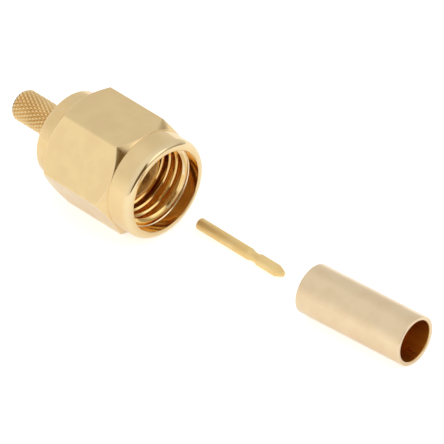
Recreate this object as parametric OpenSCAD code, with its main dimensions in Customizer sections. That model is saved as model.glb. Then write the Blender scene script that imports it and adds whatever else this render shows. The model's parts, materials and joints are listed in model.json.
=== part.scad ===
// Coaxial crimp plug, laid out as its three loose pieces: the plug with its captive
// coupling nut, the centre contact and the crimp ferrule.
//
// The plug's axis runs along X and the mate arrives from +X. The origin is the centre of
// the reference plane, which is the front face of the plug's sleeve. Everything lies on
// one level: the nut on one of its flats, the contact and the ferrule on their sides.
// Distances that are named "to" or "from" a face are along X. Millimetres throughout.

/* [Coupling nut] */
// Width across the flats of the hexagon
hex_flats = 8.0; // [7.6:0.05:9]
// Length of the nut, from its rim to its rear face
nut_length = 8.5; // [7.8:0.1:10]
// Diameter of the round collar in front of the flats
collar_d = 7.84; // [7.4:0.02:7.9]
// Length of the round collar
collar_length = 2.0; // [1.2:0.1:3]
// Length of the turned bevel on the hexagon's corners, at each end
hex_bevel = 0.55; // [0.3:0.05:0.8]
// Width of the flat land that the rounded rim keeps beside its bore
rim_land = 0.03; // [0.02:0.01:0.2]
// How far the rim stands in front of the reference plane
rim_reach = 3.05; // [2.6:0.05:3.4]

/* [Coupling thread] */
// Bore of the thread, which is its minor diameter
thread_bore_d = 5.7; // [5.66:0.01:5.74]
// Diameter of the plain counterbore in front of the thread
mouth_d = 6.48; // [6.4:0.02:6.7]
// Depth of the counterbore
mouth_depth = 0.98; // [0.5:0.02:1.2]
// How far the thread runs in behind the reference plane
thread_reach = 1.75; // [1.2:0.05:1.9]
// Bore of the nut behind its thread, in which the plug's journal turns
nut_bore_d = 6.4; // [6.36:0.01:6.6]

/* [Plug body] */
// Outer diameter of the sleeve that enters the mate
sleeve_d = 4.6; // [4.5:0.01:4.65]
// Wall of the sleeve; its bore runs on into the body and holds the insulator
sleeve_wall = 0.25; // [0.2:0.01:0.5]
// Length of the sleeve, from the reference plane to the face of the gasket
sleeve_length = 2.0; // [1.9:0.02:2.4]
// Diameter of the end plate behind the nut
plate_d = 6.78; // [6.6:0.02:7.4]
// Thickness of the end plate
plate_t = 1.5; // [1:0.05:2.5]
// Wall between the insulator and the plate's rear face
floor_t = 0.75; // [0.4:0.05:1]
// Running gap between the nut and the plug, on the radius
journal_gap = 0.05; // [0.02:0.01:0.09]
// Gap between the nut's rear face and the plate
nut_end_gap = 0.05; // [0.02:0.01:0.2]

/* [Crimp stem] */
// Length of the stem behind the plate
stem_length = 4.95; // [4:0.05:7]
// Diameter over the knurl's points
stem_d = 2.5; // [2.3:0.02:2.8]
// Bore of the stem, for the cable's dielectric
stem_bore_d = 1.6; // [1.4:0.02:1.8]
// Depth of the knurl
knurl_depth = 0.1; // [0.05:0.01:0.14]
// Number of diamonds round the stem
knurl_count = 24; // [16:1:32]
// Length of one diamond along the stem
knurl_pitch = 0.57; // [0.4:0.01:0.8]
// Bevel at the free end of the stem
stem_bevel = 0.16; // [0.05:0.01:0.25]

/* [Retaining ring] */
// Axial thickness of the split ring that keeps the nut on the plug
ring_t = 0.45; // [0.3:0.01:0.6]
// Radial depth that the ring reaches into the plug
ring_in_plug = 0.23; // [0.15:0.01:0.3]
// Radial depth that the ring reaches into the nut
ring_in_nut = 0.22; // [0.12:0.01:0.26]
// Gap between the ring and each groove wall and floor
ring_gap = 0.04; // [0.02:0.01:0.06]
// Distance from the ring's rear side to the nut's rear face
ring_from_rear = 1.1; // [0.8:0.05:1.6]
// Width of the split in the ring
ring_split = 0.8; // [0.4:0.1:1.5]

/* [Gasket] */
// Thickness of the gasket at the root of the sleeve
gasket_t = 0.55; // [0.4:0.05:0.8]
// Outer diameter of the gasket
gasket_d = 6.2; // [5.8:0.02:6.28]
// Undercut at the sleeve's root that keeps the gasket on, on the radius
gasket_seat = 0.06; // [0.03:0.01:0.12]
// Gap between the gasket and its seat, on the radius
gasket_gap = 0.01; // [0.01:0.01:0.03]

/* [Insulator] */
// How far the insulator stands behind the reference plane
insulator_setback = 1.5; // [0.8:0.05:2]
// Gap between the insulator and the body's bore, on the radius
insulator_gap = 0.01; // [0.01:0.01:0.04]
// Gap between the contact and the insulator's bore, on the radius
contact_gap = 0.02; // [0.01:0.01:0.05]

/* [Contact] */
// Diameter of the centre contact
contact_d = 0.9; // [0.84:0.01:1.1]
// Overall length of the contact
contact_length = 8.53; // [8:0.01:10]
// Distance from the rear end to the neck
neck_from_rear = 5.15; // [4.4:0.05:5.4]
// Length of the neck, with its sloping shoulder
neck_length = 0.9; // [0.6:0.05:1.1]
// Diameter of the neck where it starts, behind its sloping shoulder
neck_d = 0.72; // [0.66:0.01:0.8]
// How much the neck narrows towards its step, on the diameter
neck_taper = 0.03; // [0.01:0.01:0.06]
// Length of the tapered tip
tip_length = 0.68; // [0.4:0.02:0.9]
// Diameter of the blunt end of the tip
tip_end_d = 0.36; // [0.2:0.02:0.5]
// Bore for the cable's centre wire
wire_bore_d = 0.56; // [0.4:0.02:0.62]
// Depth of the bore for the wire
wire_bore_depth = 2.6; // [2:0.1:3.4]

/* [Ferrule] */
// Outer diameter of the crimp ferrule
ferrule_d = 3.84; // [3.6:0.02:4.4]
// Bore of the ferrule
ferrule_bore_d = 3.2; // [3:0.02:3.4]
// Length of the ferrule
ferrule_length = 9.5; // [8:0.1:12]
// Bevel on the ferrule's edges
ferrule_bevel = 0.08; // [0.04:0.01:0.12]

/* [Layout] */
// Free distance between the nut's rim and the rear of the contact
contact_ahead = 1.1; // [0.5:0.1:4]
// Sideways distance from the plug's axis to the contact's axis
contact_aside = 2.13; // [1.5:0.05:5]
// Free distance between the contact's tip and the rear of the ferrule
ferrule_ahead = 3.89; // [1:0.1:8]
// Sideways distance from the plug's axis to the rear of the ferrule
ferrule_aside = 1.19; // [0:0.05:4]
// Angle that the ferrule lies at to the plug's axis
ferrule_turn = 4.6; // [0:0.1:10]

/* [Hidden] */
$fn = 96;

// Small edge breaks that turned parts of this size have
edge_break = 0.05;
// Distance by which a cutting body passes the face that it cuts
over = 0.5;

// Places along X
rim_x = rim_reach;
nut_rear_x = rim_x - nut_length;
mouth_x = rim_x - mouth_depth;
plate_x = nut_rear_x - nut_end_gap;
plate_rear_x = plate_x - plate_t;
stem_end_x = plate_rear_x - stem_length;
seat_x = -sleeve_length - gasket_t;
ring_rear_x = nut_rear_x + ring_from_rear;
insulator_rear_x = plate_rear_x + floor_t;
contact_x = rim_x + contact_ahead;
ferrule_x = contact_x + contact_length + ferrule_ahead;

// Level that every piece lies on
level = -hex_flats / 2;

// Fitted diameters and radii
body_bore_d = sleeve_d - 2 * sleeve_wall;
journal_r = nut_bore_d / 2 - journal_gap;
mouth_lead = (mouth_d - thread_bore_d) / 2;
rim_round = (collar_d - mouth_d) / 2 - edge_break - rim_land;

gold = [0.86, 0.70, 0.42];
pale_gold = [0.86, 0.76, 0.60];
silicone = [0.72, 0.24, 0.12];
fluoropolymer = [0.95, 0.95, 0.93];

// A solid turned about X from an outline of [distance along X, radius] points
module turned(outline)
    rotate([0, 90, 0]) rotate_extrude() polygon([for (p = outline) [p[1], p[0]]]);

// A plain round bore or bar along X
module round_bar(from_x, to_x, d)
    translate([from_x, 0, 0]) rotate([0, 90, 0]) cylinder(d = d, h = to_x - from_x);

// Points of a rounded outer edge: a quarter circle that ends at [x, r] on a front face
function rounded_front(x, r, round) =
    [for (a = [0 : 22.5 : 90]) [x - round + round * sin(a), r - round + round * cos(a)]];

// Hexagonal bar with the bevels, the round collar and the rounded rim turned on it
module nut_blank() {
    corner_r = hex_flats / 2 / cos(30);
    flat_r = hex_flats / 2;
    collar_r = collar_d / 2;
    flats_x = rim_x - collar_length;
    intersection() {
        translate([nut_rear_x, 0, 0]) rotate([0, 90, 0]) rotate([0, 0, 30])
            cylinder(r = corner_r, h = nut_length, $fn = 6);
        turned(concat(
            [[nut_rear_x, 0], [nut_rear_x, flat_r], [nut_rear_x + hex_bevel, corner_r],
             [flats_x - hex_bevel, corner_r], [flats_x, flat_r], [flats_x, collar_r]],
            rounded_front(rim_x, collar_r, rim_round),
            [[rim_x, 0]]));
    }
}

// The nut's stepped bore: counterbore, lead-in, thread bore, run-out, journal bore
module nut_bore() {
    thread_r = thread_bore_d / 2;
    bore_r = nut_bore_d / 2;
    mouth_r = mouth_d / 2;
    rear_bevel = 0.16;
    turned([[nut_rear_x - over, 0], [nut_rear_x - over, bore_r + rear_bevel],
            [nut_rear_x, bore_r + rear_bevel], [nut_rear_x + rear_bevel, bore_r],
            [-thread_reach - (bore_r - thread_r), bore_r], [-thread_reach, thread_r],
            [mouth_x - mouth_lead, thread_r], [mouth_x, mouth_r],
            [rim_x - edge_break, mouth_r], [rim_x, mouth_r + edge_break],
            [rim_x + over, mouth_r + edge_break], [rim_x + over, 0]]);
}

// Groove for the retaining ring, cut from the axis out to the given radius
module ring_groove(floor_r)
    round_bar(ring_rear_x - ring_gap, ring_rear_x + ring_t + ring_gap, 2 * floor_r);

// Threaded nut that draws the plug onto its mate; it turns freely on the body
module coupling_nut() color(gold) difference() {
    nut_blank();
    nut_bore();
    ring_groove(nut_bore_d / 2 + ring_in_nut + ring_gap);
}

// Diamond knurl as one closed solid along +Z. Its surface is a net of points in which
// peaks and groove crossings take turns, and each cell is split along its groove. The
// first ring is drawn in to bevel the free end, and both ends are plain polygons.
module diamond_knurl(length, peak_d, root_d, end_d, count, pitch) {
    columns = 2 * count;
    rows = round(length / (pitch / 2));
    step = length / rows;
    function net_d(i, j) = j == 0 ? end_d : j == rows || (i + j) % 2 == 1 ? root_d : peak_d;
    function at(i, j) = j * columns + i % columns;
    function cell(i, j) = (i + j) % 2 == 0
        ? [[at(i, j), at(i, j + 1), at(i + 1, j)], [at(i + 1, j), at(i, j + 1), at(i + 1, j + 1)]]
        : [[at(i, j), at(i + 1, j + 1), at(i + 1, j)], [at(i, j), at(i, j + 1), at(i + 1, j + 1)]];
    net = [for (j = [0 : rows]) for (i = [0 : columns - 1]) let (r = net_d(i, j) / 2)
        [r * cos(180 * i / count), r * sin(180 * i / count), j * step]];
    sides = [for (j = [0 : rows - 1]) for (i = [0 : columns - 1]) each cell(i, j)];
    ends = [[for (i = [0 : columns - 1]) at(i, 0)],
            [for (i = [columns - 1 : -1 : 0]) at(i, rows)]];
    polyhedron(net, concat(sides, ends), convexity = 4);
}

// The stem over which the braid and the ferrule are crimped; it runs into the end plate
module crimp_stem()
    translate([stem_end_x, 0, 0]) rotate([0, 90, 0])
        diamond_knurl(stem_length + plate_t / 2, stem_d, stem_d - 2 * knurl_depth,
                      stem_d - 2 * stem_bevel, knurl_count, knurl_pitch);

// Sleeve, undercut gasket seat, journal and end plate, turned in one piece
module body_blank() {
    sleeve_r = sleeve_d / 2;
    seat_r = sleeve_r - gasket_seat;
    plate_r = plate_d / 2;
    plate_round = 0.15;
    turned(concat(
        [[plate_rear_x, 0]],
        [for (a = [0 : 22.5 : 90]) [plate_rear_x + plate_round - plate_round * cos(a),
                                    plate_r - plate_round + plate_round * sin(a)]],
        [[plate_x - edge_break, plate_r], [plate_x, plate_r - edge_break], [plate_x, journal_r],
         [seat_x - edge_break, journal_r], [seat_x, journal_r - edge_break],
         [seat_x, seat_r], [-sleeve_length, sleeve_r],
         [-edge_break, sleeve_r], [0, sleeve_r - edge_break], [0, 0]]));
}

// The plug's one-piece outer conductor, from the sleeve to the knurled stem
module plug_body() color(gold) difference() {
    union() {
        body_blank();
        crimp_stem();
    }
    round_bar(insulator_rear_x, over, body_bore_d);
    round_bar(stem_end_x - over, insulator_rear_x + over, stem_bore_d);
    turned([[stem_end_x - over, 0], [stem_end_x - over, stem_bore_d / 2 + stem_bevel / 2],
            [stem_end_x, stem_bore_d / 2 + stem_bevel / 2],
            [stem_end_x + stem_bevel / 2, stem_bore_d / 2], [stem_end_x + stem_bevel / 2, 0]]);
    difference() {
        ring_groove(journal_r + over);
        ring_groove(journal_r - ring_in_plug - ring_gap);
    }
}

// Split spring ring, half in the plug's groove and half in the nut's
module retaining_ring() color(gold) difference() {
    round_bar(ring_rear_x, ring_rear_x + ring_t, nut_bore_d + 2 * ring_in_nut);
    round_bar(ring_rear_x - over, ring_rear_x + ring_t + over, 2 * (journal_r - ring_in_plug));
    translate([ring_rear_x - over, -ring_split / 2, 0])
        cube([ring_t + 2 * over, ring_split, nut_bore_d]);
}

// Flat ring that seals against the mate's front face; its bore narrows with its seat
module gasket() color(silicone) {
    front_r = sleeve_d / 2 + gasket_gap;
    turned([[seat_x, front_r - gasket_seat], [seat_x, gasket_d / 2],
            [-sleeve_length, gasket_d / 2], [-sleeve_length, front_r]]);
}

// Bead that holds the contact in the middle of the body
module insulator() color(fluoropolymer) {
    bore_r = contact_d / 2 + contact_gap;
    outer_r = body_bore_d / 2 - insulator_gap;
    lead = 0.2;
    turned([[insulator_rear_x, bore_r + lead], [insulator_rear_x, outer_r],
            [-insulator_setback - edge_break, outer_r],
            [-insulator_setback, outer_r - edge_break],
            [-insulator_setback, bore_r], [insulator_rear_x + lead, bore_r]]);
}

// Centre contact: wire bore at the rear, neck that snaps into the insulator, blunt tip
module contact_pin() color(gold) translate([contact_x, contact_aside, level + contact_d / 2]) {
    r = contact_d / 2;
    neck_r = neck_d / 2;
    wire_r = wire_bore_d / 2;
    rear_bevel = 0.07;
    shoulder = 0.28;
    drill_point = wire_r * tan(30);
    neck_end = neck_from_rear + neck_length;
    taper_x = contact_length - tip_length;
    difference() {
        turned([[0, 0], [0, r - rear_bevel], [rear_bevel, r], [neck_from_rear, r],
                [neck_from_rear + shoulder, neck_r],
                [neck_end - edge_break, neck_r - neck_taper / 2],
                [neck_end, r - edge_break / 2], [neck_end + edge_break, r], [taper_x, r],
                [contact_length - edge_break, tip_end_d / 2 + edge_break],
                [contact_length, tip_end_d / 2], [contact_length, 0]]);
        turned([[-over, 0], [-over, wire_r], [wire_bore_depth, wire_r],
                [wire_bore_depth + drill_point, 0]]);
    }
}

// Plain tube that is crimped over the cable's braid
module crimp_ferrule()
    color(pale_gold) translate([ferrule_x, ferrule_aside, level + ferrule_d / 2])
    rotate([0, 0, ferrule_turn]) {
        r = ferrule_d / 2;
        bore_r = ferrule_bore_d / 2;
        b = ferrule_bevel;
        turned([[0, bore_r + b], [0, r - b], [b, r], [ferrule_length - b, r],
                [ferrule_length, r - b], [ferrule_length, bore_r + b],
                [ferrule_length - b, bore_r], [b, bore_r]]);
    }

coupling_nut();
plug_body();
retaining_ring();
gasket();
insulator();
contact_pin();
crimp_ferrule();
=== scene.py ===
# %% [markdown]
# # A coaxial crimp plug, laid out as three loose pieces
#
# The plug is a captive hexagonal nut on a turned body with a knurled stem. Its centre
# contact and its crimp ferrule lie in front of it. Every surface is gold plated, so the
# scene is a lesson in three things: turned shapes with small rounded edges, a thread and
# a knurl that follow a rule, and a studio whose reflections give plain gold its form.
#
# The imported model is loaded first, as a frame that never moves. Each piece is then drawn
# about the axis of the solid that it stands for.

# %% Load the frame
import json
import math

import bmesh
import bpy
from mathutils import Matrix, Vector


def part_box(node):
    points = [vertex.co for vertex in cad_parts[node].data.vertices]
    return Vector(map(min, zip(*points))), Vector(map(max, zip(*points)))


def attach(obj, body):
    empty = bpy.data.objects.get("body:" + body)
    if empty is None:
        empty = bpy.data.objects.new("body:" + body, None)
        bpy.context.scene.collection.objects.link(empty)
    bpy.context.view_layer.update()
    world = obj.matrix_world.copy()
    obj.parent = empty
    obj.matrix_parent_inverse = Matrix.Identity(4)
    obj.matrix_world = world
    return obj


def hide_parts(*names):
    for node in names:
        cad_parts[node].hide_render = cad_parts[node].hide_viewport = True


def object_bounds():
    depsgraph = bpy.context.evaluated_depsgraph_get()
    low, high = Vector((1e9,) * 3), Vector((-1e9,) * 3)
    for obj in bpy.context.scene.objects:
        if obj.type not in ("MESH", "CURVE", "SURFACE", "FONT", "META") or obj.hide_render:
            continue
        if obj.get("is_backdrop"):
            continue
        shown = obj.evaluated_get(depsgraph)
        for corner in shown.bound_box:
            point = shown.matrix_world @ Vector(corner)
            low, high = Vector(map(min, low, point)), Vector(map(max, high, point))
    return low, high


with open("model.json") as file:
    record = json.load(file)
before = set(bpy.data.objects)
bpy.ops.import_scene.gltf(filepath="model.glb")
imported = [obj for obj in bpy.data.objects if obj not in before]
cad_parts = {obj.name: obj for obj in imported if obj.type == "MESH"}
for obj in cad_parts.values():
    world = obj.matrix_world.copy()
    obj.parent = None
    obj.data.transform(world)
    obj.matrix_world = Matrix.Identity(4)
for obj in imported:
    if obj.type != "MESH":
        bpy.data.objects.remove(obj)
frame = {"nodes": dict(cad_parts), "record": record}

MM = 0.001
cad_low, cad_high = (Vector(corner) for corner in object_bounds())
print("frame in mm:", [round(v / MM, 2) for v in (*cad_low, *cad_high)])

# %% [markdown]
# ## Camera
#
# A small shiny product is shot from far away with a long lens, so that its lines stay
# almost parallel and the room hardly shows in it. The camera looks down on the layout
# from its front left. It is turned a little about its own line of sight.

# %% Camera
VIEW_AZIMUTH = math.radians(46.856)
VIEW_ELEVATION = math.radians(38.598)
VIEW_ROLL = math.radians(2.249)
VIEW_DISTANCE = 570.63 * MM
SENSOR_WIDTH, FOCAL_LENGTH = 36, 645.4
AIM_OFF_CENTRE = Vector((-0.514, 2.001, -2.0))
aim = (cad_low + cad_high) / 2 + AIM_OFF_CENTRE * MM


def towards(azimuth, elevation):
    """Unit vector at an angle right of -Y and an angle above the floor."""
    flat = math.cos(elevation)
    return Vector((math.sin(azimuth) * flat, -math.cos(azimuth) * flat,
                   math.sin(elevation)))


def add_camera():
    back = towards(VIEW_AZIMUTH, VIEW_ELEVATION)
    side = Vector((math.cos(VIEW_AZIMUTH), math.sin(VIEW_AZIMUTH), 0))
    above = back.cross(side)
    right = math.cos(VIEW_ROLL) * side - math.sin(VIEW_ROLL) * above
    upward = math.sin(VIEW_ROLL) * side + math.cos(VIEW_ROLL) * above
    camera = bpy.data.objects.new("camera", bpy.data.cameras.new("camera"))
    camera.data.sensor_width = SENSOR_WIDTH
    camera.data.lens = FOCAL_LENGTH
    camera.matrix_world = Matrix.Translation(aim + back * VIEW_DISTANCE) @ Matrix(
        (right, upward, back)).transposed().to_4x4()
    bpy.context.collection.objects.link(camera)
    bpy.context.scene.camera = camera


add_camera()
print("camera is", round(VIEW_DISTANCE / MM), "mm away")

# %% [markdown]
# ## Node helpers
#
# Materials, the world and the two rule-made pieces are all node trees. A tree that is
# built in code reads well when adding a node, filling its sockets and linking it is one
# call. An input that is given a socket is linked, and any other value is set on it.


# %% Node helpers
def add_node(tree, kind, settings=None, **inputs):
    """Add a node; keyword names are input names with _ for a space, or in_0 by number."""
    node = tree.nodes.new(kind)
    for key, value in (settings or {}).items():
        setattr(node, key, value)
    for key, value in inputs.items():
        number = key.startswith("in_") and key[3:].isdigit()
        socket = node.inputs[int(key[3:]) if number else key.replace("_", " ")]
        if isinstance(value, bpy.types.NodeSocket):
            tree.links.new(value, socket)
        else:
            socket.default_value = value
    return node


def calc(tree, operation, *values):
    """One Math node, and its result."""
    node = add_node(tree, "ShaderNodeMath", {"operation": operation})
    for socket, value in zip(node.inputs, values):
        if isinstance(value, bpy.types.NodeSocket):
            tree.links.new(value, socket)
        else:
            socket.default_value = value
    return node.outputs[0]


def fade(tree, value, start, end, low=0.0, high=1.0):
    """A soft step from low to high as the value goes from start to end."""
    return add_node(tree, "ShaderNodeMapRange", {"interpolation_type": "SMOOTHSTEP"},
                    Value=value, From_Min=start, From_Max=end,
                    To_Min=low, To_Max=high).outputs["Result"]


def blend_colour(tree, factor, first, second):
    node = add_node(tree, "ShaderNodeMix", {"data_type": "RGBA"}, in_0=factor, in_6=first,
                    in_7=second)
    return node.outputs[2]


# %% [markdown]
# ## Studio
#
# Polished gold has almost no colour of its own: it shows the room, tinted. The room here
# is a pale tent of cloth. On the camera's right it has the opening that it is looked into
# through, a dark wedge that narrows upwards, and a low dark wall that runs on round that
# side, with one small bright patch above it. The cloth is brighter near the floor on the
# left and a little darker high up behind. A world shader can hold all of that, as soft
# steps on the direction of a ray, so no lamp leaves a hard spot. The floor is a real
# plane, so that the metal mirrors it and it catches the contact shadows. Light needs many
# mirror bounces to get out of the nut's mouth, so Cycles is allowed more than usual.

# %% Studio
TENT, BELOW = 0.84, 0.95
OPENING_TINT = (0.16, 0.09, 0.012, 1)
OPENING_DARK, LOW_WALL_DARK = 0.97, 0.62

# Each soft step starts and ends at these values: degrees, or a height from 0 to 1.
OPENING_TOP, OPENING_SIDE = (-31, -42), (105, 98)
OPENING_SLANT, OPENING_LEAN = -0.95, 0.4
LOW_WALL_START, LOW_WALL_END, LOW_WALL_TOP = (40, 60), (185, 150), (0.32, 0.10)
NEAR_FLOOR_TOP = (0.62, 0.0)

# Each soft spot has an azimuth, an elevation, and an inner and an outer angle in degrees.
NEAR_FLOOR, NEAR_FLOOR_GAIN = (-35, 0, 20, 70), 0.17
BEHIND, BEHIND_LOSS = (185, 40, 15, 55), 0.10
PATCH, PATCH_GAIN = (114, 22, 8, 20), 0.55

FLOOR_HALF, FLOOR_TONE = 0.5, (0.8, 0.8, 0.8, 1)
MIRRORED_GLOW, SEEN_GLOW = 0.42, 0.6
MIRROR_BOUNCES = 10


def product(tree, first, second):
    return calc(tree, "MULTIPLY", first, second)


def spot(tree, ray, azimuth, elevation, inner, outer):
    """1 within the inner angle round a direction, falling to 0 at the outer one."""
    centre = towards(math.radians(azimuth), math.radians(elevation))
    node = add_node(tree, "ShaderNodeVectorMath", {"operation": "DOT_PRODUCT"},
                    in_0=ray, in_1=centre)
    return fade(tree, node.outputs["Value"],
                math.cos(math.radians(outer)), math.cos(math.radians(inner)))


def add_world():
    world = bpy.data.worlds.new("tent")
    bpy.context.scene.world = world
    world.use_nodes = True
    tree = world.node_tree
    tree.nodes.clear()
    ray = add_node(tree, "ShaderNodeTexCoord").outputs["Generated"]
    part = add_node(tree, "ShaderNodeSeparateXYZ", Vector=ray).outputs
    height = part["Z"]
    bearing = calc(tree, "ARCTAN2", part["Y"], part["X"])
    azimuth = calc(tree, "ADD", calc(tree, "DEGREES", bearing), 90.0)
    elevation = calc(tree, "DEGREES", calc(tree, "ARCSINE", height))

    slant = calc(tree, "MULTIPLY_ADD", azimuth, OPENING_SLANT, elevation)
    lean = calc(tree, "MULTIPLY_ADD", elevation, OPENING_LEAN, azimuth)
    opening = product(tree, fade(tree, slant, *OPENING_TOP),
                      fade(tree, lean, *OPENING_SIDE))
    wall_span = product(tree, fade(tree, azimuth, *LOW_WALL_START),
                        fade(tree, azimuth, *LOW_WALL_END))
    low_wall = product(tree, wall_span, fade(tree, height, *LOW_WALL_TOP))
    dark = calc(tree, "MAXIMUM", product(tree, opening, OPENING_DARK),
                product(tree, low_wall, LOW_WALL_DARK))

    light = fade(tree, height, -0.004, 0.0, BELOW, TENT)
    near_floor = product(tree, spot(tree, ray, *NEAR_FLOOR),
                         fade(tree, height, *NEAR_FLOOR_TOP))
    light = calc(tree, "ADD", light, product(tree, near_floor, NEAR_FLOOR_GAIN))
    light = calc(tree, "SUBTRACT", light,
                 product(tree, spot(tree, ray, *BEHIND), BEHIND_LOSS))
    light = calc(tree, "ADD", light, product(tree, spot(tree, ray, *PATCH), PATCH_GAIN))
    colour = blend_colour(tree, dark, (1, 1, 1, 1), OPENING_TINT)
    shade = add_node(tree, "ShaderNodeBackground", Color=colour, Strength=light)
    out = add_node(tree, "ShaderNodeOutputWorld")
    tree.links.new(shade.outputs[0], out.inputs["Surface"])


def add_floor():
    """A pale plane that glows for the rays that see it, by what it lacks to white."""
    mesh = bpy.data.meshes.new("floor")
    corners = [(x * FLOOR_HALF, y * FLOOR_HALF, cad_low.z)
               for x, y in ((-1, -1), (1, -1), (1, 1), (-1, 1))]
    mesh.from_pydata(corners, [], [(0, 1, 2, 3)])
    floor = bpy.data.objects.new("floor", mesh)
    bpy.context.collection.objects.link(floor)
    paint = bpy.data.materials.new("pale_floor")
    paint.use_nodes = True
    tree = paint.node_tree
    tree.nodes.clear()
    rays = add_node(tree, "ShaderNodeLightPath").outputs
    mirrored = calc(tree, "MAXIMUM", rays["Is Glossy Ray"], rays["Is Transmission Ray"])
    matt = add_node(tree, "ShaderNodeBsdfDiffuse", Color=FLOOR_TONE)
    strength = calc(tree, "ADD", product(tree, mirrored, MIRRORED_GLOW),
                    product(tree, rays["Is Camera Ray"], SEEN_GLOW))
    glow = add_node(tree, "ShaderNodeEmission", Color=(1, 1, 1, 1), Strength=strength)
    lit = add_node(tree, "ShaderNodeAddShader", in_0=matt.outputs[0], in_1=glow.outputs[0])
    out = add_node(tree, "ShaderNodeOutputMaterial")
    tree.links.new(lit.outputs[0], out.inputs["Surface"])
    mesh.materials.append(paint)
    floor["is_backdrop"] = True


add_world()
add_floor()
bpy.context.scene.view_settings.view_transform = "Standard"
bpy.context.scene.cycles.glossy_bounces = MIRROR_BOUNCES
print("floor lies at", round(cad_low.z / MM, 2), "mm")

# %% [markdown]
# ## Gold plate
#
# All the gold here is electroplate on machined brass, and it differs by how the brass was
# cut. A turned surface has fine rings about its axis, a drawn flat has fine lines along
# it, and both have a few pits. One function makes every finish. It reads the place of a
# point in millimetres about the piece's own axis, so that the rings follow a piece that
# lies turned on the table. Colour, roughness and height all vary with the same marks, as
# they do on real plate, and the rounded edges are a little paler where they get rubbed.
# The same paler colour is painted on the knurl's points as a highlight. The lead-in face
# in the nut's mouth has a plate of its own, more satin and painted paler, a painted
# highlight.


# %% Gold plate
def own_axis(tree, at, turn):
    """Object coordinates as millimetres about an axis through a point, turned about Z."""
    place = add_node(tree, "ShaderNodeTexCoord").outputs["Object"]
    return add_node(tree, "ShaderNodeMapping", {"vector_type": "TEXTURE"}, Vector=place,
                    Location=at, Rotation=(0, 0, turn), Scale=(MM, MM, MM)).outputs[0]


def marks(tree, place, stretch, detail=3.0):
    """Noise that is stretched into rings or lines."""
    drawn_out = add_node(tree, "ShaderNodeMapping", Vector=place, Scale=stretch)
    return add_node(tree, "ShaderNodeTexNoise", Vector=drawn_out.outputs[0], Scale=1.0,
                    Detail=detail).outputs["Fac"]


RINGS = (14.0, 0.35, 0.35)
LINES = (0.3, 9.0, 9.0)
MICRON = 1e-6
PIT_DEPTH = 6 * MICRON


def gold_plate(name, colour, dull, smooth, rough, stretch, depth, at=(0, 0, 0), turn=0.0,
               pits=0.5, wear_highlight=(1.0, 0.86, 0.6), wear_highlight_share=0.35):
    """Plate on machined brass: two tones of gold, roughness limits and marks in microns."""
    paint = bpy.data.materials.new(name)
    paint.use_nodes = True
    tree = paint.node_tree
    shader = tree.nodes["Principled BSDF"]
    shader.inputs["Metallic"].default_value = 1.0
    place = own_axis(tree, at, turn)
    fine = marks(tree, place, stretch)
    cloud = marks(tree, place, (0.7, 0.7, 0.7), 2.0)
    pit_cells = add_node(tree, "ShaderNodeTexVoronoi", Vector=place, Scale=1.9)
    pit = calc(tree, "MULTIPLY", fade(tree, pit_cells.outputs["Distance"], 0.10, 0.02),
               fade(tree, marks(tree, place, (2.3, 2.3, 2.3), 1.0), 0.50, 0.62))
    pit = calc(tree, "MULTIPLY", pit, pits)
    # Paler on the outer rounds, where they get rubbed, and on the knurl's points, where the
    # paler colour is a painted highlight.
    wear_and_highlight = add_node(tree, "ShaderNodeAttribute",
                      {"attribute_name": "wear_and_highlight"}).outputs["Fac"]
    tone = calc(tree, "ADD", fade(tree, cloud, 0.35, 0.65, 0.0, 0.6),
                calc(tree, "MULTIPLY", pit, 0.8))
    gold = blend_colour(tree, tone, (*colour, 1), (*dull, 1))
    gold = blend_colour(tree, calc(tree, "MULTIPLY", wear_and_highlight, wear_highlight_share), gold, (*wear_highlight, 1))
    tree.links.new(gold, shader.inputs["Base Color"])
    grain = calc(tree, "ADD", calc(tree, "MULTIPLY", cloud, 0.6),
                 calc(tree, "MULTIPLY", fine, 0.4))
    tree.links.new(fade(tree, grain, 0.3, 0.7, smooth, rough), shader.inputs["Roughness"])
    height = calc(tree, "SUBTRACT", calc(tree, "MULTIPLY", fine, depth * MICRON),
                  calc(tree, "MULTIPLY", pit, PIT_DEPTH))
    bump = add_node(tree, "ShaderNodeBump", Height=height, Distance=1.0, Strength=1.0)
    tree.links.new(bump.outputs[0], shader.inputs["Normal"])
    return paint


bright = (0.88, 0.665, 0.345)
nut_turned = gold_plate("nut_turned", bright, (0.84, 0.62, 0.32), 0.06, 0.13,
                        RINGS, 0.8)
nut_flats = gold_plate("nut_flats", bright, (0.83, 0.61, 0.32), 0.12, 0.22, LINES, 1.2,
                       pits=1.0)
nut_bore = gold_plate("nut_bore", (0.90, 0.64, 0.27), (0.88, 0.55, 0.17), 0.08, 0.16,
                      RINGS, 0.8)
# The lead-in face's plate is more satin and painted paler: a painted highlight.
nut_lead_in = gold_plate("nut_lead_in", (1.0, 0.86, 0.58), (0.97, 0.80, 0.50),
                         0.16, 0.26, RINGS, 0.8)
print("gold plate:", [m.name for m in (nut_turned, nut_flats, nut_bore, nut_lead_in)])

# %% [markdown]
# ## Outlines with rounded corners
#
# No machined edge is sharp: each carries a tiny round that catches the light, and this
# highlight is most of what tells metal from a flat shape. Bevel modifiers can add it
# later, but an outline that already has its rounds gives full control over each one. A
# corner is written as distance along the axis, radius from the axis and size of its
# round. Two rounds on one side share it in proportion to their sizes, so that they never
# meet. Outer rounds are noted as rubbed, for the material.


# %% Outlines
STEPS_PER_MM = 26
ROUNDS_SHARE = 0.94


def share(corner, other):
    """The part of the side between two corners that the first corner's round may use."""
    length = math.dist(corner[:2], other[:2])
    return ROUNDS_SHARE * length * corner[2] / (corner[2] + other[2])


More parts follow.
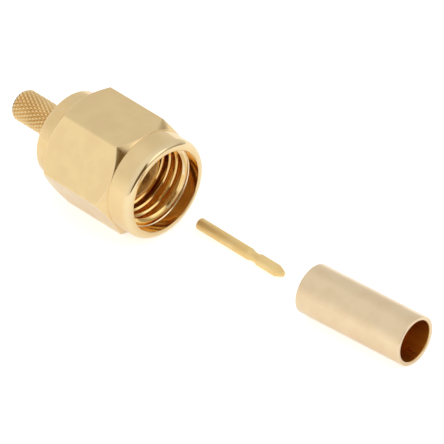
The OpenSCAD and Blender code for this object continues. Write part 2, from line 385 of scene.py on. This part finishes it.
def rounded(corners, least_steps=4, closed=True):
    """Turn [x, r, round] corners in mm into points, with how much each one gets rubbed."""
    spots = [Vector(c[:2]) for c in corners]
    turning = sum(a.x * b.y - b.x * a.y for a, b in zip(spots, spots[1:] + spots[:1]))
    points = []
    for i, (corner, spot) in enumerate(zip(corners, spots)):
        if corner[2] == 0 or (not closed and i in (0, len(corners) - 1)):
            points.append((spot.x, spot.y, 0.0))
            continue
        before, after = corners[i - 1], corners[(i + 1) % len(corners)]
        into, out = Vector(before[:2]) - spot, Vector(after[:2]) - spot
        half = into.angle(out) / 2
        reach = min(corner[2] / math.tan(half),
                    share(corner, before), share(corner, after))
        size = reach * math.tan(half)
        into.normalize()
        out.normalize()
        centre = spot + (into + out).normalized() * math.hypot(reach, size)
        outer = (into.x * out.y - into.y * out.x) * turning < 0
        first, sweep = spot + into * reach - centre, math.pi - 2 * half
        way = 1 if (-into.x * out.y + into.y * out.x) > 0 else -1
        steps = max(least_steps, round(STEPS_PER_MM * corner[2]))
        for step in range(steps + 1):
            done = step / steps
            angle = way * sweep * done
            turned = Vector((first.x * math.cos(angle) - first.y * math.sin(angle),
                             first.x * math.sin(angle) + first.y * math.cos(angle)))
            where = centre + turned
            points.append((where.x, where.y, math.sin(math.pi * done) if outer else 0.0))
    return points


# %% [markdown]
# ## Lathe
#
# A lathe in code sweeps an outline round the axis. Blender's Screw modifier and the Spin
# tool do the same for one outline, but the nut's outline differs from angle to angle, so
# this lathe takes one outline for each angle. An outline that starts and ends on the axis
# closes in two poles. Flat faces keep their own shading through a Weighted Normal pass,
# so that only the rounds look round.


# %% Lathe
SHARP_FROM = math.radians(50)


def lathe(name, outlines, angles, closed=True, at=(0, 0, 0), turn=0.0, pick=None,
          paints=()):
    """Sweep outlines round X into one closed mesh, then move it to its axis."""
    rows, columns = len(outlines[0]), len(angles)
    mesh = bmesh.new()
    wear_and_highlight = mesh.verts.layers.float.new("wear_and_highlight")
    spin = Matrix.Rotation(turn, 3, "Z")
    grid = []
    for outline, angle in zip(outlines, angles):
        column = []
        for row, (x, r, wear_highlight) in enumerate(outline):
            if r == 0 and grid:
                column.append(grid[0][row])
                continue
            swept = Vector((x, r * math.cos(angle), r * math.sin(angle)))
            vert = mesh.verts.new(spin @ swept * MM + Vector(at))
            vert[wear_and_highlight] = wear_highlight
            column.append(vert)
        grid.append(column)
    for i in range(columns):
        here, after = grid[i], grid[(i + 1) % columns]
        for j in range(rows if closed else rows - 1):
            k = (j + 1) % rows
            loop = [here[j], here[k], after[k], after[j]]
            face = mesh.faces.new([v for n, v in enumerate(loop) if v not in loop[:n]])
            face.smooth = True
            if pick:
                near, far = outlines[i], outlines[(i + 1) % columns]
                x, r, _ = (sum(p) / 4 for p in zip(near[j], near[k], far[j], far[k]))
                face.material_index = pick(x, r)
    bmesh.ops.recalc_face_normals(mesh, faces=mesh.faces)
    return finish_mesh(name, mesh, paints)


def finish_mesh(name, mesh, paints):
    data = bpy.data.meshes.new(name)
    mesh.to_mesh(data)
    mesh.free()
    data.set_sharp_from_angle(angle=SHARP_FROM)
    for paint in paints:
        data.materials.append(paint)
    piece = bpy.data.objects.new(name, data)
    bpy.context.collection.objects.link(piece)
    piece.modifiers.new("flat faces", "WEIGHTED_NORMAL").keep_sharp = True
    return piece


def plain_angles(count):
    return [2 * math.pi * i / count for i in range(count)]


def report(piece):
    size = [round((max(v.co[i] for v in piece.data.vertices)
                   - min(v.co[i] for v in piece.data.vertices)) / MM, 2) for i in range(3)]
    print(piece.name, "is", size, "mm with", len(piece.data.polygons), "faces")


# %% [markdown]
# ## The coupling nut
#
# The nut is cut from hexagonal bar: a round collar is turned in front of the flats, and
# the corners of the hexagon are turned off in a shallow cone at both ends. Where that
# cone meets a flat, the edge is a curve. A cylinder and a boolean would give it, but with
# poor faces at the most visible edge of the piece. Here each angle has its own outline,
# with the point where the cone meets the flat worked out, so the curve is a clean row of
# faces with its own small round.

# %% Nut
nut_low, nut_high = (Vector(c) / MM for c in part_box("coupling_nut"))
RIM, NUT_REAR = nut_high.x, nut_low.x
FLAT = nut_high.z
COLLAR_LENGTH, COLLAR_RADIUS = 2.0, 3.92
HEX_END = RIM - COLLAR_LENGTH
CORNER_BEVEL, CORNER_ROUND, TURNED_IN = 0.55, 0.15, 0.03
REAR_CHAMFER, RIM_EDGE = 0.16, 0.04
MOUTH_RADIUS, MOUTH_DEPTH, BORE_RADIUS = 3.24, 0.98, 3.2
THREAD_ROOT, THREAD_CREST, THREAD_REAR = 3.175, 2.85, -1.75
LEAD_SLOPE = 1.48
GROOVE_FRONT, GROOVE_REAR, GROOVE_RADIUS = -3.86, -4.39, 3.46


def hexagon_columns(flat, corner_round, per_flat=26, per_corner=6):
    """Angles round a hexagon that lies on a flat, with the radius at each."""
    tangent = math.atan((flat - corner_round) * math.tan(math.pi / 6) / flat)
    corner_centre = (flat - corner_round) / math.cos(math.pi / 6)
    columns = []
    for side in range(6):
        middle = math.pi / 2 + side * math.pi / 3
        for i in range(per_flat + 1):
            off = tangent * (2 * i / per_flat - 1)
            columns.append((middle + off, flat / math.cos(off)))
        for i in range(1, per_corner):
            swing = math.pi / 6 * (2 * i / per_corner - 1)
            across = corner_round * math.sin(swing)
            along = corner_centre + corner_round * math.cos(swing)
            columns.append((middle + math.pi / 6 + math.atan2(across, along),
                            math.hypot(across, along)))
    return columns


def nut_outline(radius):
    """The nut's outline at an angle where the hexagon has this radius."""
    start = FLAT - TURNED_IN
    slope = CORNER_BEVEL / (FLAT / math.cos(math.pi / 6) - FLAT)
    bevel = (radius - start) * slope
    return rounded([
        (NUT_REAR, start, 0.03), (NUT_REAR + bevel, radius, 0.08),
        (HEX_END - bevel, radius, 0.08), (HEX_END, start, 0.03),
        (HEX_END, COLLAR_RADIUS, 0.025), (RIM, COLLAR_RADIUS, 0.6),
        (RIM, MOUTH_RADIUS + RIM_EDGE, 0.02), (RIM - RIM_EDGE, MOUTH_RADIUS, 0.02),
        (RIM - MOUTH_DEPTH, MOUTH_RADIUS, 0.03),
        (RIM - MOUTH_DEPTH - (MOUTH_RADIUS - THREAD_ROOT) / LEAD_SLOPE,
         THREAD_ROOT, 0.02),
        (THREAD_REAR - 0.3, THREAD_ROOT, 0.02), (THREAD_REAR - 0.35, BORE_RADIUS, 0.02),
        (GROOVE_FRONT, BORE_RADIUS, 0.03), (GROOVE_FRONT, GROOVE_RADIUS, 0.02),
        (GROOVE_REAR, GROOVE_RADIUS, 0.02), (GROOVE_REAR, BORE_RADIUS, 0.03),
        (NUT_REAR + REAR_CHAMFER, BORE_RADIUS, 0.04),
        (NUT_REAR, BORE_RADIUS + REAR_CHAMFER, 0.04)])


def nut_finish(x, r):
    """Which paint a face of the nut has, by where it lies."""
    if r > FLAT - 0.01 and NUT_REAR + 0.02 < x < HEX_END - 0.02:
        return 1
    mouth_end = RIM - MOUTH_DEPTH
    # The lead-in face gets the paler plate, a painted highlight.
    if r < MOUTH_RADIUS - 0.004 and mouth_end - 0.1 < x < mouth_end + 0.01:
        return 3
    return 2 if r < MOUTH_RADIUS + 0.01 and x < RIM - 0.06 else 0


hexagon = hexagon_columns(FLAT, CORNER_ROUND)
nut_shell = lathe("nut_shell", [nut_outline(radius) for _, radius in hexagon],
                  [angle for angle, _ in hexagon], pick=nut_finish,
                  paints=(nut_turned, nut_flats, nut_bore, nut_lead_in))
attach(nut_shell, "nut")
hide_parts("coupling_nut")
report(nut_shell)

# %% [markdown]
# ## The coupling thread
#
# The thread is a ridge of trapezoid section that winds round the bore, 36 turns to the
# inch. That is a rule, so Geometry Nodes make it: a spiral curve carries the section, and
# one Set Position presses the ridge back to a cone at each end, as the lead-in and the
# run-out of the cut do. Array and Screw modifiers could wind it too, but could not taper
# its ends. The ridge's foot is sunk in the wall of the nut.

# %% Thread
PITCH = 25.4 / 36
CREST_AT, TURNS, TURNS_BEHIND = 0.98, 6.5, 5 + 1 / 6
CREST_SHARE, CREST_ROUND = 0.10, 0.03
FOOT_SUNK = 0.075


def new_tree(name, **inputs):
    """A Geometry Nodes tree with a geometry socket and named float inputs."""
    tree = bpy.data.node_groups.new(name, "GeometryNodeTree")
    tree.is_modifier = True
    tree.interface.new_socket("Geometry", in_out="INPUT", socket_type="NodeSocketGeometry")
    for label, value in inputs.items():
        kind = "NodeSocketInt" if isinstance(value, int) else "NodeSocketFloat"
        tree.interface.new_socket(label.replace("_", " "), in_out="INPUT",
                                  socket_type=kind).default_value = value
    tree.interface.new_socket("Geometry", in_out="OUTPUT", socket_type="NodeSocketGeometry")
    entry = add_node(tree, "NodeGroupInput")
    return tree, entry.outputs


def end_tree(tree, geometry, paint, part=None, part_paint=None):
    """Close a tree with Realize Instances and Set Material, and maybe repaint a part."""
    real = add_node(tree, "GeometryNodeRealizeInstances", Geometry=geometry)
    painted = add_node(tree, "GeometryNodeSetMaterial", Geometry=real.outputs[0],
                       Material=paint)
    if part:
        painted = add_node(tree, "GeometryNodeSetMaterial", Geometry=painted.outputs[0],
                           Selection=part, Material=part_paint)
    add_node(tree, "NodeGroupOutput", Geometry=painted.outputs[0])


def run_tree(name, tree, start, **inputs):
    """Run a tree on an object with its inputs set, and keep the result as a plain mesh."""
    maker = start.modifiers.new("maker", "NODES")
    maker.node_group = tree
    sockets = {s.name: s.identifier for s in tree.interface.items_tree
               if s.item_type == "SOCKET" and s.in_out == "INPUT"}
    for label, value in inputs.items():
        maker[sockets[label.replace("_", " ")]] = value
    graph = bpy.context.evaluated_depsgraph_get()
    mesh = bpy.data.meshes.new_from_object(start.evaluated_get(graph), depsgraph=graph)
    bpy.data.objects.remove(start)
    mesh.name = name
    piece = bpy.data.objects.new(name, mesh)
    bpy.context.collection.objects.link(piece)
    return piece


def thread_tree(paint, lead_in_highlight_paint):
    tree, given = new_tree("thread", Pitch=0.7056, Turns=6.0, Start=0.0, Crest=2.85,
                           Foot=3.25, Lead_in=1.68, Lead_slope=1.0, Run_out=-1.75, Steps=96)
    depth = calc(tree, "SUBTRACT", given["Foot"], given["Crest"])
    crest_width = calc(tree, "MULTIPLY", given["Pitch"], CREST_SHARE)
    foot_width = calc(tree, "MULTIPLY_ADD", depth, 2 * math.tan(math.pi / 6),
                      crest_width)
    section = add_node(tree, "GeometryNodeCurvePrimitiveQuadrilateral",
                       {"mode": "TRAPEZOID"}, Height=depth, Bottom_Width=foot_width,
                       Top_Width=crest_width, Offset=0.0)
    soft = add_node(tree, "GeometryNodeFilletCurve", {"mode": "POLY"},
                    Curve=section.outputs[0], Radius=CREST_ROUND, Count=3)
    divided = add_node(tree, "GeometryNodeSubdivideCurve", Curve=soft.outputs[0], Cuts=1)
    crest_in = add_node(tree, "GeometryNodeTransform", Geometry=divided.outputs[0],
                        Rotation=(0, 0, math.pi / 2))
    radius = calc(tree, "MULTIPLY", calc(tree, "ADD", given["Foot"], given["Crest"]), 0.5)
    spiral = add_node(tree, "GeometryNodeCurveSpiral", Resolution=given["Steps"],
                      Rotations=given["Turns"], Start_Radius=radius, End_Radius=radius,
                      Height=calc(tree, "MULTIPLY", given["Pitch"], given["Turns"]),
                      Reverse=True)
    upright = add_node(tree, "GeometryNodeSetCurveNormal", {"mode": "Z_UP"},
                       Curve=spiral.outputs[0])
    ridge = add_node(tree, "GeometryNodeCurveToMesh", Curve=upright.outputs[0],
                     Profile_Curve=crest_in.outputs[0], Fill_Caps=True)
    placed = add_node(tree, "GeometryNodeTransform", Geometry=ridge.outputs[0],
                      Translation=add_node(tree, "ShaderNodeCombineXYZ",
                                           Z=given["Start"]).outputs[0])
    where = add_node(tree, "GeometryNodeInputPosition").outputs[0]
    part = add_node(tree, "ShaderNodeSeparateXYZ", Vector=where).outputs
    now = calc(tree, "SQRT", calc(tree, "ADD", product(tree, part["X"], part["X"]),
                                  product(tree, part["Y"], part["Y"])))
    past_lead_in = product(tree, calc(tree, "SUBTRACT", part["Z"], given["Lead in"]),
                           given["Lead slope"])
    past = calc(tree, "MAXIMUM", past_lead_in,
                calc(tree, "SUBTRACT", given["Run out"], part["Z"]))
    cone = calc(tree, "ADD", calc(tree, "ADD", past, given["Crest"]), 0.004)
    cone = calc(tree, "MINIMUM", cone, calc(tree, "SUBTRACT", given["Foot"], 0.005))
    grow = calc(tree, "DIVIDE", calc(tree, "MAXIMUM", now, cone), now)
    grow = calc(tree, "SUBTRACT", grow, 1.0)
    offset = add_node(tree, "ShaderNodeCombineXYZ", X=product(tree, part["X"], grow),
                      Y=product(tree, part["Y"], grow)).outputs[0]
    pressed = add_node(tree, "GeometryNodeSetPosition", Geometry=placed.outputs[0],
                       Offset=offset)
    smooth = add_node(tree, "GeometryNodeSetShadeSmooth", Geometry=pressed.outputs[0])
    along_x = add_node(tree, "GeometryNodeTransform", Geometry=smooth.outputs[0],
                       Rotation=(0, math.pi / 2, 0), Scale=(MM, MM, MM))
    final = add_node(tree, "GeometryNodeInputPosition").outputs[0]
    final_x = add_node(tree, "ShaderNodeSeparateXYZ", Vector=final).outputs["X"]
    # The ridge in front of the lead-in's end gets the paler plate, a painted highlight.
    highlight_face = calc(tree, "GREATER_THAN", final_x, product(tree, given["Lead in"], MM))
    end_tree(tree, along_x.outputs[0], paint, highlight_face, lead_in_highlight_paint)
    return tree


def empty_mesh(name):
    holder = bpy.data.objects.new(name, bpy.data.meshes.new(name))
    bpy.context.collection.objects.link(holder)
    return holder


lead_in_end = RIM - MOUTH_DEPTH - (MOUTH_RADIUS - THREAD_CREST) / LEAD_SLOPE
nut_thread = run_tree("nut_thread", thread_tree(nut_bore, nut_lead_in),
                      empty_mesh("thread"), Pitch=PITCH, Turns=TURNS,
                      Start=CREST_AT - PITCH * TURNS_BEHIND, Crest=THREAD_CREST,
                      Foot=THREAD_ROOT + FOOT_SUNK, Lead_in=lead_in_end,
                      Lead_slope=LEAD_SLOPE, Run_out=THREAD_REAR)
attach(nut_thread, "nut")
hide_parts("coupling_nut")
report(nut_thread)

# %% [markdown]
# ## The plug's body
#
# The body is one turned piece. From the front it has a thin sleeve that enters the mate,
# an undercut seat for the gasket, the journal on which the nut turns, with the groove of
# the retaining ring, and the end plate behind the nut. Its outline is the same at every
# angle, so one outline goes round the lathe.

# %% Body
body_low, body_high = (Vector(c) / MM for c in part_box("plug_body"))
STEM_END, PLATE_RADIUS = body_low.x, body_high.z
NUT_END_GAP, PLATE_THICKNESS, FLOOR_THICKNESS, JOURNAL_GAP = 0.05, 1.5, 0.75, 0.05
PLATE = NUT_REAR - NUT_END_GAP
PLATE_REAR = PLATE - PLATE_THICKNESS
JOURNAL, RING_FLOOR = BORE_RADIUS - JOURNAL_GAP, 2.88
SLEEVE, SLEEVE_BORE, SEAT = 2.3, 2.05, -2.55
STEM_BORE, BODY_FLOOR = 0.8, PLATE_REAR + FLOOR_THICKNESS
COLUMNS = 256

body_outline = rounded([
    (0, SLEEVE, 0.05), (-2.0, SLEEVE, 0.01), (SEAT, SLEEVE - 0.06, 0.02),
    (SEAT, JOURNAL, 0.05), (GROOVE_FRONT, JOURNAL, 0.03), (GROOVE_FRONT, RING_FLOOR, 0.02),
    (GROOVE_REAR, RING_FLOOR, 0.02), (GROOVE_REAR, JOURNAL, 0.03), (PLATE, JOURNAL, 0.02),
    (PLATE, PLATE_RADIUS, 0.05), (PLATE_REAR, PLATE_RADIUS, 0.15),
    (PLATE_REAR, STEM_BORE, 0.0), (BODY_FLOOR, STEM_BORE, 0.02),
    (BODY_FLOOR, SLEEVE_BORE, 0.02), (0, SLEEVE_BORE, 0.03)], least_steps=5)
body_turned = gold_plate("body_turned", (0.87, 0.66, 0.35), (0.83, 0.59, 0.28),
                         0.08, 0.16, RINGS, 0.8)
plug_shell = lathe("plug_shell", [body_outline] * COLUMNS, plain_angles(COLUMNS),
                   paints=(body_turned,))
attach(plug_shell, "plug")
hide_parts("plug_body")
report(plug_shell)

# %% [markdown]
# ## The knurled stem
#
# The cable's braid is crimped on this stem, and its diamond knurl keeps the braid from
# slipping. A knurling wheel rolls two families of slanting grooves that cross, and what
# stands between them are small points in rows. That again is a rule. The lathe makes a
# plain tube with a fine net of faces, and Geometry Nodes press each point of the net in
# by how near it is to a groove of either family. A displacement texture would only bend
# the light, while this one also shows in the outline.

# %% Knurled stem
STEM_RADIUS, STEM_BEVEL, SUNK_IN_PLATE = 1.25, 0.16, 0.15
KNURL_DEPTH, KNURL_COUNT, KNURL_PITCH = 0.16, 24, 0.57
ROWS_PER_DIAMOND, COLUMNS_PER_DIAMOND = 14, 12
VALLEY_ROUND, HIGHLIGHT_POWER = 0.08, 1.5


def knurl_tree(paint):
    tree, given = new_tree("diamond knurl", Count=KNURL_COUNT, Pitch=KNURL_PITCH,
                           Depth=KNURL_DEPTH, Radius=STEM_RADIUS, Free_end=STEM_END,
                           Bevel=STEM_BEVEL)
    where = add_node(tree, "GeometryNodeInputPosition").outputs[0]
    scaled = add_node(tree, "ShaderNodeVectorMath", {"operation": "SCALE"}, in_0=where,
                      Scale=1 / MM).outputs[0]
    part = add_node(tree, "ShaderNodeSeparateXYZ", Vector=scaled).outputs
    now = calc(tree, "SQRT", calc(tree, "ADD", product(tree, part["Y"], part["Y"]),
                                  product(tree, part["Z"], part["Z"])))
    along = calc(tree, "SUBTRACT", part["X"], given["Free end"])
    row = calc(tree, "DIVIDE", along, given["Pitch"])
    around = calc(tree, "MULTIPLY", calc(tree, "ARCTAN2", part["Z"], part["Y"]),
                  calc(tree, "DIVIDE", given["Count"], 2 * math.pi))
    one_way = calc(tree, "PINGPONG", calc(tree, "ADD", around, row), 0.5)
    other_way = calc(tree, "PINGPONG", calc(tree, "SUBTRACT", around, row), 0.5)
    nearest = calc(tree, "SMOOTH_MIN", one_way, other_way, VALLEY_ROUND)
    stand = calc(tree, "SINE", calc(tree, "MULTIPLY", nearest, math.pi))
    pressed_in = product(tree, given["Depth"], calc(tree, "SUBTRACT", 1.0, stand))
    bevel = calc(tree, "MAXIMUM", calc(tree, "SUBTRACT", given["Bevel"], along), 0.0)
    tapered = calc(tree, "SUBTRACT", given["Radius"], bevel)
    new = calc(tree, "SUBTRACT", tapered, pressed_in)
    outside = calc(tree, "GREATER_THAN", now,
                   calc(tree, "SUBTRACT", given["Radius"], 0.01))
    grow = calc(tree, "SUBTRACT", calc(tree, "DIVIDE", new, now), 1.0)
    offset = add_node(tree, "ShaderNodeCombineXYZ",
                      Y=product(tree, part["Y"], grow),
                      Z=product(tree, part["Z"], grow)).outputs[0]
    in_metres = add_node(tree, "ShaderNodeVectorMath", {"operation": "SCALE"}, in_0=offset,
                         Scale=MM).outputs[0]
    pressed = add_node(tree, "GeometryNodeSetPosition", Geometry=given["Geometry"],
                       Selection=outside, Offset=in_metres)
    # Each point's height is stored for the material, which paints the points paler: a
    # painted highlight.
    peak_highlight = add_node(tree, "GeometryNodeStoreNamedAttribute",
                    {"data_type": "FLOAT", "domain": "POINT"},
                    Geometry=pressed.outputs[0], Name="wear_and_highlight",
                    Value=calc(tree, "POWER", stand, HIGHLIGHT_POWER))
    end_tree(tree, peak_highlight.outputs[0], paint)
    return tree


def stem_outline():
    """A closed tube: outside in fine steps, then the end face and the bore."""
    front = PLATE_REAR + SUNK_IN_PLATE
    steps = round((front - STEM_END) / KNURL_PITCH * ROWS_PER_DIAMOND)
    outside = [(front + (STEM_END - front) * i / steps, STEM_RADIUS, 0.0)
               for i in range(steps + 1)]
    return outside + rounded([
        (STEM_END, STEM_RADIUS - 0.2, 0), (STEM_END, STEM_BORE + 0.08, 0),
        (STEM_END + 0.08, STEM_BORE, 0), (front, STEM_BORE + 0.02, 0)])


# The knurl's plate is a dark brown, painted shade in its grooves. Its points are lifted to
# pale gold by their stored height, a painted highlight.
knurl_shade_and_highlight = gold_plate("knurl_shade_and_highlight", (0.76, 0.49, 0.19), (0.62, 0.35, 0.10),
                        0.14, 0.26, RINGS, 0.4, wear_highlight=(1.0, 0.78, 0.44), wear_highlight_share=0.8)
stem_columns = KNURL_COUNT * COLUMNS_PER_DIAMOND
stem_tube = lathe("stem_tube", [stem_outline()] * stem_columns,
                  plain_angles(stem_columns))
stem_knurl = run_tree("stem_knurl", knurl_tree(knurl_shade_and_highlight), stem_tube, Count=KNURL_COUNT,
                      Pitch=KNURL_PITCH, Depth=KNURL_DEPTH, Radius=STEM_RADIUS,
                      Free_end=STEM_END, Bevel=STEM_BEVEL)
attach(stem_knurl, "plug")
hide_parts("plug_body")
report(stem_knurl)

# %% [markdown]
# ## The centre contact
#
# The contact is soldered or crimped to the cable's inner wire and snapped into the
# insulator by its neck. It is under a millimetre thick, and its plate is more satin than
# the nut's. Its outline starts at the bottom of the wire bore, on the axis, and ends on
# the axis at the tip, so the lathe closes it in two poles.

# %% Contact
pin_low, pin_high = (Vector(c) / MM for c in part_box("contact_pin"))
PIN = (pin_high.z - pin_low.z) / 2
PIN_LENGTH = pin_high.x - pin_low.x
pin_at = (pin_low.x, (pin_low.y + pin_high.y) / 2, (pin_low.z + pin_high.z) / 2)
WIRE, WIRE_DEPTH = 0.28, 2.6
NECK_FROM, NECK_SLOPE, NECK_TO, NECK = 5.15, 0.28, 6.05, 0.36
TIP_LENGTH, TIP_END = 0.68, 0.2
PIN_COLUMNS = 96

pin_outline = rounded([
    (WIRE_DEPTH + WIRE * math.tan(math.pi / 6), 0, 0), (WIRE_DEPTH, WIRE, 0.02),
    (0, WIRE, 0.03), (0, PIN, 0.07), (NECK_FROM, PIN, 0.05),
    (NECK_FROM + NECK_SLOPE, NECK, 0.05),
    (NECK_TO - 0.05, NECK - 0.015, 0.03), (NECK_TO + 0.02, PIN, 0.03),
    (PIN_LENGTH - TIP_LENGTH, PIN, 0.06), (PIN_LENGTH, TIP_END, 0.06), (PIN_LENGTH, 0, 0)],
    closed=False)
pin_satin = gold_plate("pin_satin", (0.97, 0.76, 0.38), (0.94, 0.69, 0.30), 0.55, 0.65,
                       RINGS, 0.6, at=[c * MM for c in pin_at])
contact = lathe("contact", [pin_outline] * PIN_COLUMNS, plain_angles(PIN_COLUMNS),
                closed=False, at=[c * MM for c in pin_at], paints=(pin_satin,))
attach(contact, "plug")
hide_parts("contact_pin")
report(contact)

# %% [markdown]
# ## The crimp ferrule
#
# The ferrule is a length of drawn tube. It is slid over the braid and squeezed onto the
# stem. Its outside is polished before plating. Its bore is rougher and painted a darker,
# browner gold, painted shade for the inside of the tube. It lies a little turned, so its
# place and its turn are read from the imported record, and its marks follow its own axis.

# %% Ferrule
bore_mount = next(m for m in frame["record"]["mounts"] if m["name"] == "ferrule_bore")
FERRULE_LENGTH, FERRULE_BORE, FERRULE = 9.5, 1.6, 1.92
FERRULE_COLUMNS = 192
bore_axis = Vector(bore_mount["axis"])
ferrule_turn = math.atan2(bore_mount["axis"][1], bore_mount["axis"][0])
ferrule_at = Vector(bore_mount["pos_m"]) - bore_axis * FERRULE_LENGTH / 2 * MM

ferrule_outline = rounded([
    (0, FERRULE, 0.08), (0, FERRULE_BORE, 0.1), (FERRULE_LENGTH, FERRULE_BORE, 0.1),
    (FERRULE_LENGTH, FERRULE, 0.08)])
tube_outside = gold_plate("tube_outside", (0.87, 0.69, 0.45), (0.82, 0.62, 0.39), 0.16,
                          0.24, RINGS, 0.5, at=ferrule_at, turn=ferrule_turn)
# The bore is rougher, and its darker, browner colour is painted shade for the tube's
# inside.
tube_bore_shade = gold_plate("tube_bore_shade", (0.78, 0.46, 0.08), (0.68, 0.37, 0.05), 0.24, 0.38,
                       LINES, 2.0, at=ferrule_at, turn=ferrule_turn)


def ferrule_finish(_, r):
    """The bore's darker paint, painted shade, inside, and the outer one elsewhere."""
    return 1 if r < FERRULE_BORE + 0.03 else 0


ferrule = lathe("ferrule", [ferrule_outline] * FERRULE_COLUMNS,
                plain_angles(FERRULE_COLUMNS), at=ferrule_at, turn=ferrule_turn,
                pick=ferrule_finish, paints=(tube_outside, tube_bore_shade))
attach(ferrule, "plug")
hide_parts("crimp_ferrule")
report(ferrule)

# %% [markdown]
# ## Gasket, insulator and retaining ring
#
# These three sit deep inside the plug. Their solids already have the right shape, so they
# stay and only get their finishes: matt silicone with a bloom of dust, waxy
# fluoropolymer with faint turning rings in a tan tone, which is painted shade tinted gold
# by the bore round it, and plain spring bronze.


# %% Inner parts
RING_DEPTH = 4 * MICRON


def soft_plastic(name, colour, second, roughness, sheen=0.0):
    paint = bpy.data.materials.new(name)
    paint.use_nodes = True
    tree = paint.node_tree
    shader = tree.nodes["Principled BSDF"]
    shader.inputs["Sheen Weight"].default_value = sheen
    place = own_axis(tree, (0, 0, 0), 0.0)
    cloud = marks(tree, place, (1.2, 1.2, 1.2))
    fine = marks(tree, place, (9.0, 1.5, 1.5))
    tree.links.new(blend_colour(tree, fade(tree, cloud, 0.35, 0.65), (*colour, 1),
                                (*second, 1)), shader.inputs["Base Color"])
    tree.links.new(fade(tree, fine, 0.3, 0.7, roughness - 0.08, roughness + 0.08),
                   shader.inputs["Roughness"])
    bump = add_node(tree, "ShaderNodeBump", Distance=1.0,
                    Height=product(tree, fine, RING_DEPTH))
    tree.links.new(bump.outputs[0], shader.inputs["Normal"])
    return paint


inner_finishes = {
    "gasket": soft_plastic("silicone_rubber", (0.45, 0.10, 0.04), (0.36, 0.07, 0.03),
                           0.6, 0.2),
    # A tan tone on white fluoropolymer: painted shade, tinted gold as by the bore round it.
    "insulator": soft_plastic("fluoropolymer_tan_shade", (0.85, 0.70, 0.47),
                              (0.80, 0.63, 0.40), 0.42),
    "retaining_ring": gold_plate("spring_bronze_wire", (0.72, 0.50, 0.28),
                                 (0.60, 0.38, 0.2), 0.2, 0.35, RINGS, 1.0)}
for node, paint in inner_finishes.items():
    for held in frame["nodes"][node].material_slots:
        held.material = paint
print("finished:", list(inner_finishes))
